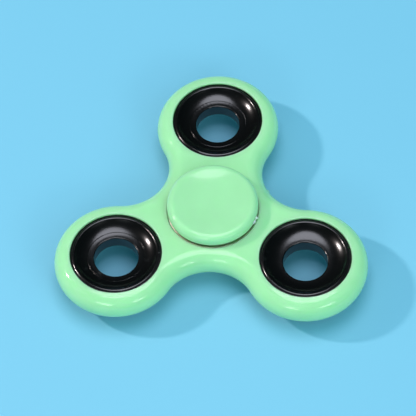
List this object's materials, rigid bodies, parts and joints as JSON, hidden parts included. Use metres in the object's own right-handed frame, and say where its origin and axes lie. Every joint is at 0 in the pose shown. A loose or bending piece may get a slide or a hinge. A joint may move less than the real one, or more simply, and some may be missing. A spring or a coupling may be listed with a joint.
{
  "type": "fidget spinner",
  "caption": "Three-lobed fidget spinner with dished finger caps, metal weight rings and a working ball bearing.",
  "frame": {"origin": "centre of the ball bearing, on the spin axis and halfway between the two caps", "axes": "+Z along the spin axis out of the top cap, +Y towards lobe 1, lobes 2 and 3 at 120 degrees either side"},
  "size_m": [0.0748, 0.0688, 0.0142],
  "materials": {
    "body_plastic": "glossy mint-green moulded plastic",
    "cap_plastic": "semi-gloss mint-green moulded plastic",
    "black_plating": "glossy black plating on turned steel",
    "bearing_steel": "ground bearing steel",
    "sheet_steel": "pressed sheet steel",
    "ball_steel": "polished bearing balls"
  },
  "bodies": {
    "hub": {"cap_top": "cap_plastic", "cap_bottom": "cap_plastic", "bearing_inner_ring": "bearing_steel"},
    "rotor": {"spinner_body": "body_plastic", "weight_1": "black_plating", "weight_2": "black_plating", "weight_3": "black_plating", "bearing_outer_ring": "bearing_steel", "shield_upper": "sheet_steel", "shield_lower": "sheet_steel"},
    "cage": {"cage_upper": "sheet_steel", "cage_lower": "sheet_steel", "cage_rivets": "bearing_steel"},
    "ball_1": {"ball_1": "ball_steel"},
    "ball_2": {"ball_2": "ball_steel"},
    "ball_3": {"ball_3": "ball_steel"},
    "ball_4": {"ball_4": "ball_steel"},
    "ball_5": {"ball_5": "ball_steel"},
    "ball_6": {"ball_6": "ball_steel"},
    "ball_7": {"ball_7": "ball_steel"}
  },
  "joints": [
    {"name": "spin", "type": "hinge", "parent": "hub", "child": "rotor", "pos_m": [0, 0, 0], "axis": [0, 0, 1], "continuous": true},
    {"name": "cage_orbit", "type": "hinge", "parent": "hub", "child": "cage", "pos_m": [0, 0, 0], "axis": [0, 0, 1], "continuous": true},
    {"name": "ball_1_roll", "type": "hinge", "parent": "cage", "child": "ball_1", "pos_m": [0.0075, 0, 0], "axis": [0, 0, 1], "continuous": true},
    {"name": "ball_2_roll", "type": "hinge", "parent": "cage", "child": "ball_2", "pos_m": [0.00468, 0.00586, 0], "axis": [0, 0, 1], "continuous": true},
    {"name": "ball_3_roll", "type": "hinge", "parent": "cage", "child": "ball_3", "pos_m": [-0.00167, 0.00731, 0], "axis": [0, 0, 1], "continuous": true},
    {"name": "ball_4_roll", "type": "hinge", "parent": "cage", "child": "ball_4", "pos_m": [-0.00676, 0.00325, 0], "axis": [0, 0, 1], "continuous": true},
    {"name": "ball_5_roll", "type": "hinge", "parent": "cage", "child": "ball_5", "pos_m": [-0.00676, -0.00325, 0], "axis": [0, 0, 1], "continuous": true},
    {"name": "ball_6_roll", "type": "hinge", "parent": "cage", "child": "ball_6", "pos_m": [-0.00167, -0.00731, 0], "axis": [0, 0, 1], "continuous": true},
    {"name": "ball_7_roll", "type": "hinge", "parent": "cage", "child": "ball_7", "pos_m": [0.00468, -0.00586, 0], "axis": [0, 0, 1], "continuous": true}
  ],
  "couplings": [
    {"joint": "cage_orbit", "follows": "spin", "ratio": 0.6323},
    {"joint": "ball_1_roll", "follows": "spin", "ratio": 1.7573},
    {"joint": "ball_2_roll", "follows": "spin", "ratio": 1.7573},
    {"joint": "ball_3_roll", "follows": "spin", "ratio": 1.7573},
    {"joint": "ball_4_roll", "follows": "spin", "ratio": 1.7573},
    {"joint": "ball_5_roll", "follows": "spin", "ratio": 1.7573},
    {"joint": "ball_6_roll", "follows": "spin", "ratio": 1.7573},
    {"joint": "ball_7_roll", "follows": "spin", "ratio": 1.7573}
  ]
}
